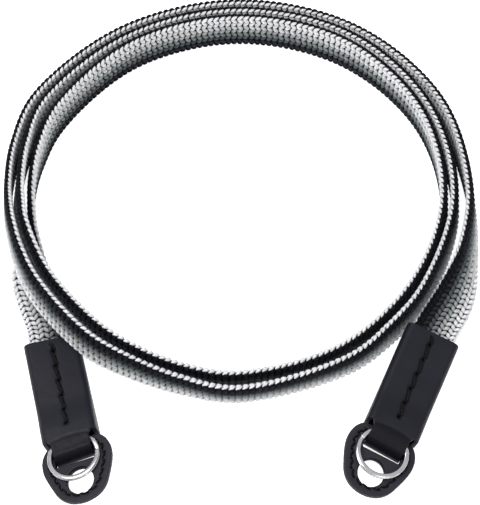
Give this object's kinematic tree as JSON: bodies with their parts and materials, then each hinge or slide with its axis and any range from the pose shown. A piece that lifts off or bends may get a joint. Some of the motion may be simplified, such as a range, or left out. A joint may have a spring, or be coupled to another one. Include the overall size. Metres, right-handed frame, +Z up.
{
  "type": "camera strap",
  "caption": "Flat knitted camera strap wound in a coil on its edge, with a leather sleeve, split ring and leather guard pad at each end.",
  "frame": {"origin": "middle of the footprint, on the ground the coil stands on", "axes": "+Z up along the coil's axis, +Y from the two leather ends towards the coil's far side, +X towards the right end as seen from the ends"},
  "size_m": [0.1304, 0.1572, 0.021],
  "materials": {
    "knit": "matt",
    "sleeve_leather": "satin",
    "pad_leather": "satin",
    "polished_steel": "polished"
  },
  "bodies": {
    "root": {"strap_band": "knit", "left_leather_sleeve": "sleeve_leather", "left_split_ring": "polished_steel", "left_guard_pad": "pad_leather", "right_leather_sleeve": "sleeve_leather", "right_split_ring": "polished_steel", "right_guard_pad": "pad_leather"}
  },
  "joints": []
}
